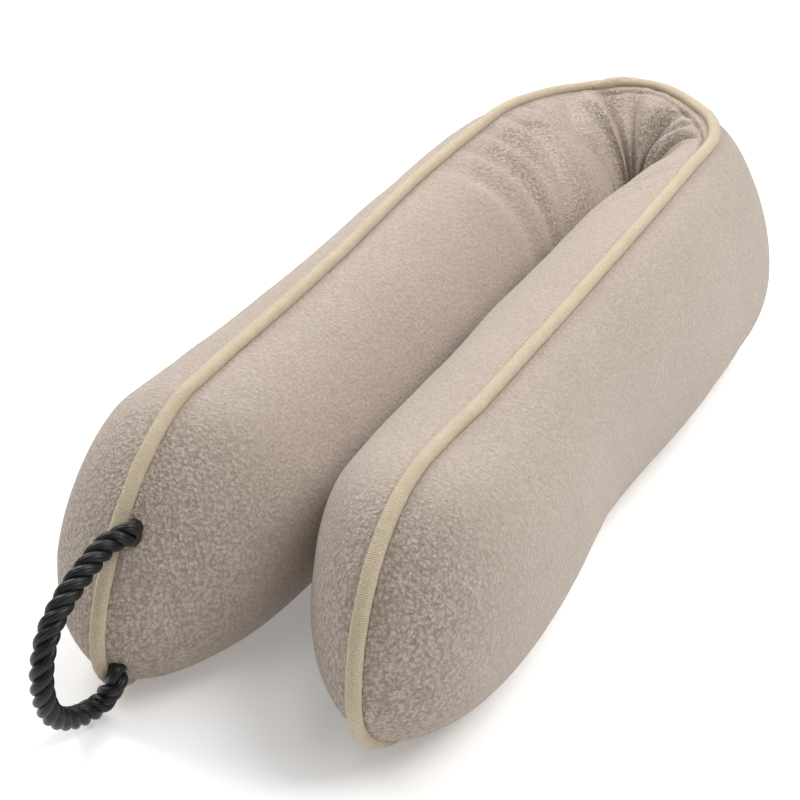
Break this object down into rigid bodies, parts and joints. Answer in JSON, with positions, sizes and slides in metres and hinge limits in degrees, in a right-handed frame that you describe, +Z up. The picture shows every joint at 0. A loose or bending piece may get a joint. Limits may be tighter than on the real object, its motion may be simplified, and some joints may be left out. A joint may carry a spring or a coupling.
{
  "type": "draught excluder",
  "caption": "Long filled fleece roll folded in half, with piping along its seam and a twisted rope loop at one end, laid along the foot of a door to stop draughts.",
  "frame": {"origin": "on the floor under the middle of the folded roll's box, the rope loop left out", "axes": "+Z up from the floor, +Y along the legs from the noses to the bend, +X across to the leg without the rope loop"},
  "size_m": [0.1792, 0.4884, 0.1078],
  "materials": {
    "fleece": "short pilled polar fleece",
    "piping_cloth": "fine twill bias piping",
    "rope_satin": "satin twisted cord"
  },
  "bodies": {
    "root": {"body": "fleece", "piping": "piping_cloth", "rope_loop": "rope_satin"}
  },
  "joints": []
}
